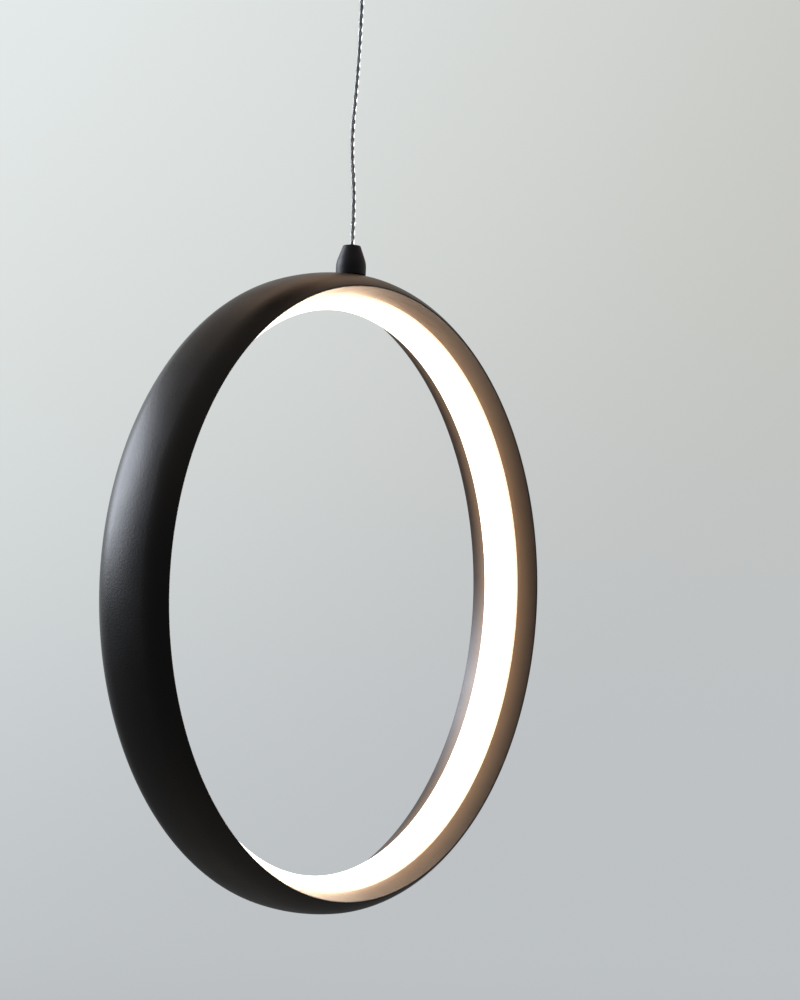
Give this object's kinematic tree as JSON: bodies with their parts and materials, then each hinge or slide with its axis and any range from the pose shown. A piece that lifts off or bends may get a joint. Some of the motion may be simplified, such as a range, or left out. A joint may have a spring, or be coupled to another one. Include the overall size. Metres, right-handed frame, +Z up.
{
  "type": "led ring pendant light",
  "caption": "Black domed LED ring lit on its inner side, hung on one thin cable from a round ceiling canopy that holds its driver.",
  "frame": {"origin": "on the ceiling plane, at the middle of the mounting bar's top face", "axes": "+Z up into the ceiling; the ring hangs upright below with its own axis along Y and its round outline in the XZ plane; X runs across the ring"},
  "size_m": [0.3, 0.12, 0.4861],
  "materials": {
    "ring_black": "satin black powder coat on rolled aluminium",
    "opal": "opal diffuser, lit warm white from behind",
    "grip_black": "matte black moulding",
    "cable_jacket": "clear jacket over a steel braid",
    "canopy_black": "satin black powder coat on spun steel",
    "screw_black": "black oxide",
    "zinc_steel": "bright zinc plate",
    "plated_brass": "nickel plate",
    "earth_green": "green painted earth screw",
    "foam_tape": "white foam tape",
    "driver_case": "white moulded case",
    "circuit_board": "green solder mask",
    "ferrite": "grey ferrite with taped coil",
    "capacitor_sleeve": "shrink sleeve",
    "terminal_plastic": "natural moulding",
    "lead_white": "soft wire insulation",
    "lead_grey": "soft wire insulation",
    "lead_green": "earth wire insulation",
    "strip_white": "white flexible board",
    "led_phosphor": "phosphor window",
    "resistor_black": "ceramic body"
  },
  "bodies": {
    "ceiling_fitting": {"mounting_bar": "zinc_steel", "canopy_cup": "canopy_black", "canopy_screws": "screw_black", "ground_screw": "earth_green", "driver_pad": "foam_tape", "driver_case_base": "driver_case", "driver_case_lid": "driver_case", "driver_board": "circuit_board", "driver_transformer": "ferrite", "driver_capacitors": "capacitor_sleeve", "driver_screws": "zinc_steel", "terminal_block": "terminal_plastic", "terminal_clamp_screws": "zinc_steel", "terminal_fixing_screw": "zinc_steel", "input_leads": "lead_white", "output_leads": "lead_grey", "ground_lead": "lead_green", "upper_grip": "grip_black", "upper_grip_screw": "screw_black", "upper_nipple": "plated_brass", "upper_washer": "zinc_steel", "upper_lock_nut": "plated_brass", "upper_cable_stop": "plated_brass", "cable_upper_tail": "cable_jacket"},
    "hanging_cable": {"cable": "cable_jacket"},
    "cable_grip": {"lower_grip": "grip_black", "lower_grip_screw": "screw_black", "cable_lower_tail": "cable_jacket", "lower_cable_stop": "plated_brass"},
    "ring": {"ring_housing": "ring_black", "diffuser": "opal", "led_strip": "strip_white", "led_chips": "led_phosphor", "strip_resistors": "resistor_black", "ring_leads": "lead_grey", "lower_nipple": "plated_brass", "lower_washer": "zinc_steel", "lower_lock_nut": "plated_brass"}
  },
  "joints": [
    {"name": "cable_swing", "type": "hinge", "parent": "ceiling_fitting", "child": "hanging_cable", "pos_m": [0, 0, -0.04], "axis": [0, 1, 0], "range_deg": [-20, 20]},
    {"name": "ring_rock", "type": "hinge", "parent": "hanging_cable", "child": "cable_grip", "pos_m": [0, 0, -0.174], "axis": [1, 0, 0], "range_deg": [-20, 20]},
    {"name": "ring_turn", "type": "hinge", "parent": "cable_grip", "child": "ring", "pos_m": [0, 0, -0.186], "axis": [0, 0, 1], "range_deg": [-180, 180]}
  ]
}
